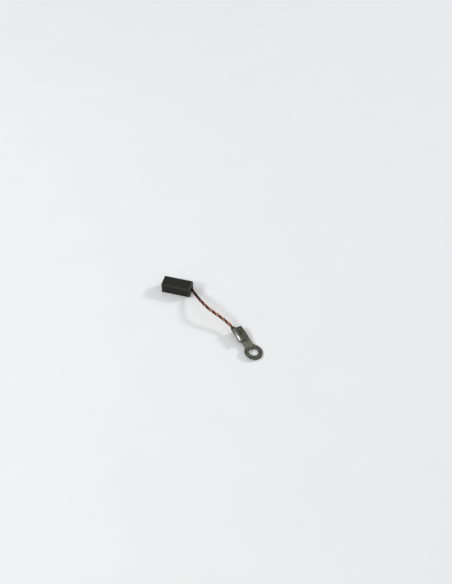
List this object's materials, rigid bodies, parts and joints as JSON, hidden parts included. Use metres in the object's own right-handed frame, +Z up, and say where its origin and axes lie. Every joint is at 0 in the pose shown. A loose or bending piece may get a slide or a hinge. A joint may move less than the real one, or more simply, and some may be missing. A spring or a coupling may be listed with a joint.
{
  "type": "carbon brush",
  "caption": "Rectangular carbon brush for a small motor, with a stranded copper pigtail tamped into its end and a folded ring terminal on the pigtail.",
  "frame": {"origin": "middle of the block's underside, on the surface that the brush lies on", "axes": "+X along the block towards the pigtail, +Z up; the contact face looks along -X"},
  "size_m": [0.0531, 0.0334, 0.0059],
  "materials": {
    "carbon": "matte pressed carbon-graphite with ground faces",
    "copper_powder": "dark tamped copper powder",
    "copper_strand": "stranded bare copper, partly browned",
    "tinned_sheet": "tarnished tin plate over sheet, olive grey with a soft shine"
  },
  "bodies": {
    "root": {"carbon_block": "carbon", "tamping_plug": "copper_powder", "pigtail": "copper_strand", "ring_terminal": "tinned_sheet"}
  },
  "joints": []
}
